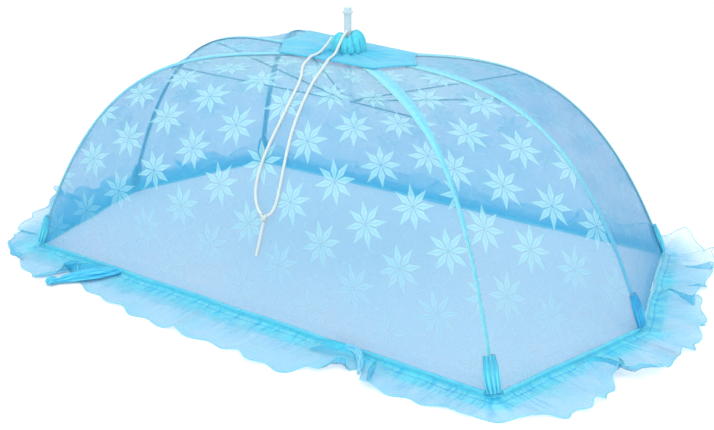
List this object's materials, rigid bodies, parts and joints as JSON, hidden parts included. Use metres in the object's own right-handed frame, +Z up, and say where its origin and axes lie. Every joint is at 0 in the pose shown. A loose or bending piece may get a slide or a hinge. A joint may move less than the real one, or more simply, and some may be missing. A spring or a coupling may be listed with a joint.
{
  "type": "umbrella baby mosquito net on its folding rib frame",
  "caption": "Oblong lace net tent that stands open over a sprung rib frame, with a gathered floor skirt, a top cap and a pull cord.",
  "frame": {"origin": "on the floor under the hub, the centre of the base", "axes": "+X along the length towards the right end, +Y to the back, +Z up"},
  "size_m": [1.2668, 0.8381, 0.434],
  "materials": {
    "lace_net": "sheer knitted lace with star flowers",
    "skirt_net": "sheer knitted lace, gathered",
    "patch": "plain woven polyester, doubled",
    "trim": "woven tape with a slight sheen",
    "steel": "drawn spring steel wire",
    "plastic": "moulded, slightly translucent",
    "cord": "braided cotton cord"
  },
  "bodies": {
    "root": {"net_right_front": "lace_net", "net_right_back": "lace_net", "net_back": "lace_net", "net_left_back": "lace_net", "net_left_front": "lace_net", "net_front": "lace_net", "tape_front_right": "trim", "tape_right": "trim", "tape_back_right": "trim", "tape_back_left": "trim", "tape_left": "trim", "tape_front_left": "trim", "pocket_front_right": "trim", "pocket_right": "trim", "pocket_back_right": "trim", "pocket_back_left": "trim", "pocket_left": "trim", "pocket_front_left": "trim", "binding_right_front": "trim", "binding_right_back": "trim", "binding_back": "trim", "binding_left_back": "trim", "binding_left_front": "trim", "binding_front": "trim", "skirt": "skirt_net", "top_patch": "patch", "top_cap": "patch", "rib_front_right": "steel", "rib_right": "steel", "rib_back_right": "steel", "rib_back_left": "steel", "rib_left": "steel", "rib_front_left": "steel", "strut_front_right": "steel", "strut_right": "steel", "strut_back_right": "steel", "strut_back_left": "steel", "strut_left": "steel", "strut_front_left": "steel", "clip_front_right": "plastic", "clip_right": "plastic", "clip_back_right": "plastic", "clip_back_left": "plastic", "clip_left": "plastic", "clip_front_left": "plastic", "hub": "plastic", "centre_post": "plastic", "runner": "plastic", "top_rod": "plastic", "cord_left": "cord", "cord_right": "cord", "cord_tail": "cord", "cord_knot": "cord"}
  },
  "joints": []
}
